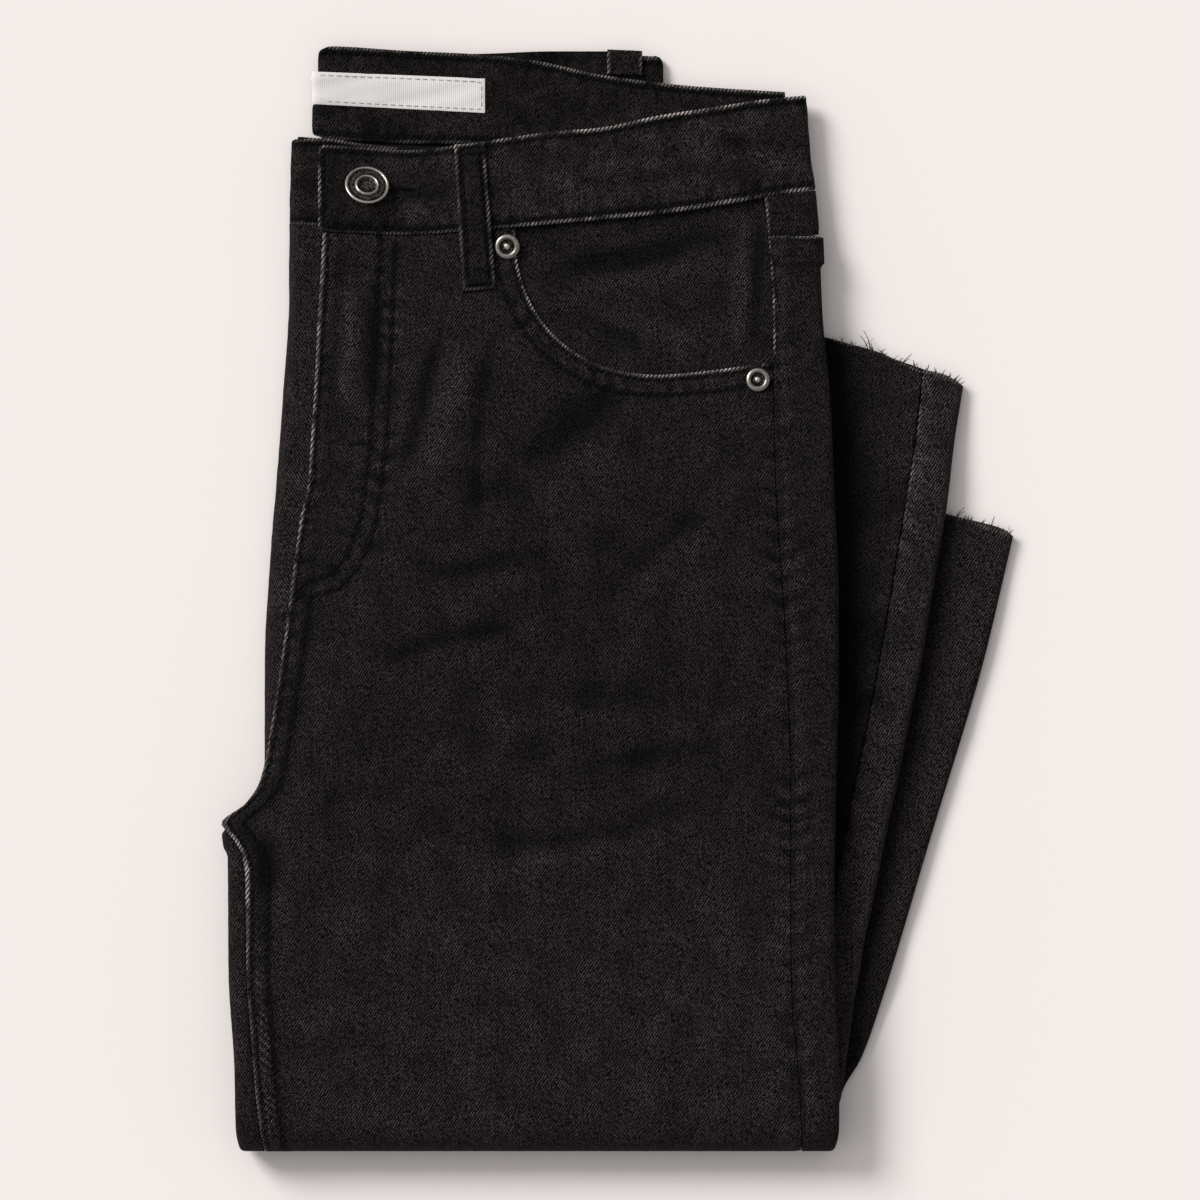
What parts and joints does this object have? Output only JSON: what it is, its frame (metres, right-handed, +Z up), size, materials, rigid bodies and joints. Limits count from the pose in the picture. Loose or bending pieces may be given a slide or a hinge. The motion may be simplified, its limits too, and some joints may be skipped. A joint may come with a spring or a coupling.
{
  "type": "straight leg jeans",
  "caption": "Straight leg jeans in faded black denim, folded down the centre and turned up across the legs, lying flat.",
  "frame": {"origin": "centre of the bounding box on the surface the jeans lie on", "axes": "+Y from the bottom fold towards the waist, +X towards the side seams and the hems, +Z up out of the stack, towards the left front"},
  "size_m": [0.3169, 0.4424, 0.0232],
  "materials": {
    "left_front": "faded black denim, right side out",
    "left_back": "faded black denim, right side out",
    "left_yoke": "faded black denim, right side out",
    "left_back_inseam": "faded black denim, right side out",
    "right_front": "faded black denim, right side out",
    "right_back": "faded black denim, right side out",
    "hidden_layers": "faded black denim",
    "pocket_facing": "faded black denim",
    "waistband_left_front": "faded black denim, worn at its edges",
    "waistband_back": "faded black denim, worn at its edges",
    "waistband_right_front": "faded black denim, worn at its edges",
    "label": "off-white woven tape, bare",
    "belt_loop_left_front": "faded black denim, worn at its edges",
    "belt_loop_right_back": "faded black denim, worn at its edges",
    "rivet_waist": "dark nickel plate, worn bright at the rim",
    "rivet_side": "dark nickel plate, worn bright at the rim",
    "button": "dark antique nickel plate, plain",
    "hem_fray_right": "loose denim threads",
    "hem_fray_left": "loose denim threads"
  },
  "bodies": {
    "root": {"left_front": "left_front", "left_back": "left_back", "left_yoke": "left_yoke", "left_back_inseam": "left_back_inseam", "right_front": "right_front", "right_back": "right_back", "hidden_layers": "hidden_layers", "pocket_facing": "pocket_facing", "waistband_left_front": "waistband_left_front", "waistband_back": "waistband_back", "waistband_right_front": "waistband_right_front", "label": "label", "belt_loop_left_front": "belt_loop_left_front", "belt_loop_right_back": "belt_loop_right_back", "rivet_waist": "rivet_waist", "rivet_side": "rivet_side", "button": "button", "hem_fray_right": "hem_fray_right", "hem_fray_left": "hem_fray_left"}
  },
  "joints": []
}
